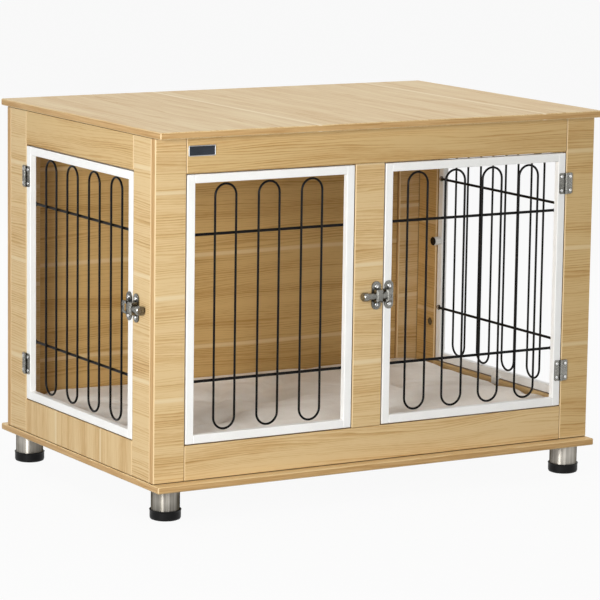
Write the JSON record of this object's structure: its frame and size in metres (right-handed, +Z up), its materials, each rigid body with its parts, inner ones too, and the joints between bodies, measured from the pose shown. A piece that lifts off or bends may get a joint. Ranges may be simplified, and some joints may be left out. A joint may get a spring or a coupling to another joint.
{
  "type": "pet crate",
  "caption": "Low oak-look cabinet crate for a pet, with wire-loop windows in white frames, hinged doors with barrel bolts, short steel feet and a soft floor cushion.",
  "frame": {"origin": "on the floor under the middle of the overall box; the carcass's middle plane is 7.5 mm to the right, because the left door's bolt and hinges stand out of the left side", "axes": "+X to the right seen from the front, +Y to the back, +Z up"},
  "size_m": [0.919, 0.616, 0.669],
  "materials": {
    "oak_board": "satin oak foil",
    "white_frame": "satin white",
    "black_wire": "satin black",
    "zinc_hardware": "zinc plated",
    "foot_steel": "brushed",
    "black_rubber": "matt",
    "white_plastic": "satin",
    "cushion_fabric": "soft weave"
  },
  "bodies": {
    "carcass": {"back_left_foot_cap": "black_rubber", "back_left_foot_tube": "foot_steel", "back_left_stile": "oak_board", "back_panel": "oak_board", "back_right_foot_cap": "black_rubber", "back_right_foot_tube": "foot_steel", "back_right_stile": "oak_board", "base_panel": "oak_board", "cam_locks": "zinc_hardware", "cushion": "cushion_fabric", "front_bottom_rail": "oak_board", "front_hinge_frame_leaves": "zinc_hardware", "front_latch_base": "zinc_hardware", "front_left_foot_cap": "black_rubber", "front_left_foot_tube": "foot_steel", "front_left_stile": "oak_board", "front_mullion": "oak_board", "front_right_foot_cap": "black_rubber", "front_right_foot_tube": "foot_steel", "front_right_stile": "oak_board", "front_top_rail": "oak_board", "front_window_bottom_rail": "white_frame", "front_window_grille": "black_wire", "front_window_left_stile": "white_frame", "front_window_right_stile": "white_frame", "front_window_top_rail": "white_frame", "hinge_pins": "zinc_hardware", "left_back_stile": "oak_board", "left_bottom_rail": "oak_board", "left_front_stile": "oak_board", "left_hinge_frame_leaves": "zinc_hardware", "left_latch_base": "zinc_hardware", "left_top_rail": "oak_board", "right_back_stile": "oak_board", "right_bottom_rail": "oak_board", "right_front_stile": "oak_board", "right_top_rail": "oak_board", "right_window_back_stile": "white_frame", "right_window_bottom_rail": "white_frame", "right_window_front_stile": "white_frame", "right_window_grille": "black_wire", "right_window_top_rail": "white_frame", "top_panel": "oak_board", "window_retainers": "white_plastic"},
    "front_door": {"front_door_left_stile": "white_frame", "front_door_right_stile": "white_frame", "front_door_bottom_rail": "white_frame", "front_door_top_rail": "white_frame", "front_door_grille": "black_wire", "front_hinge_door_leaves": "zinc_hardware", "front_latch_keeper": "zinc_hardware"},
    "left_door": {"left_door_front_stile": "white_frame", "left_door_back_stile": "white_frame", "left_door_bottom_rail": "white_frame", "left_door_top_rail": "white_frame", "left_door_grille": "black_wire", "left_hinge_door_leaves": "zinc_hardware", "left_latch_keeper": "zinc_hardware"},
    "front_bolt": {"front_latch_bolt": "zinc_hardware"},
    "left_bolt": {"left_latch_bolt": "zinc_hardware"}
  },
  "joints": [
    {"name": "front_door_hinge", "type": "hinge", "parent": "carcass", "child": "front_door", "pos_m": [0.3965, -0.2888, 0.3615], "axis": [0, 0, 1], "range_deg": [0, 170]},
    {"name": "left_door_hinge", "type": "hinge", "parent": "carcass", "child": "left_door", "pos_m": [-0.4453, 0.2065, 0.3615], "axis": [0, 0, -1], "range_deg": [0, 170]},
    {"name": "front_latch_slide", "type": "slide", "parent": "carcass", "child": "front_bolt", "axis": [1, 0, 0], "range_m": [0, 0.0125]},
    {"name": "left_latch_slide", "type": "slide", "parent": "carcass", "child": "left_bolt", "axis": [0, 1, 0], "range_m": [0, 0.0125]}
  ]
}
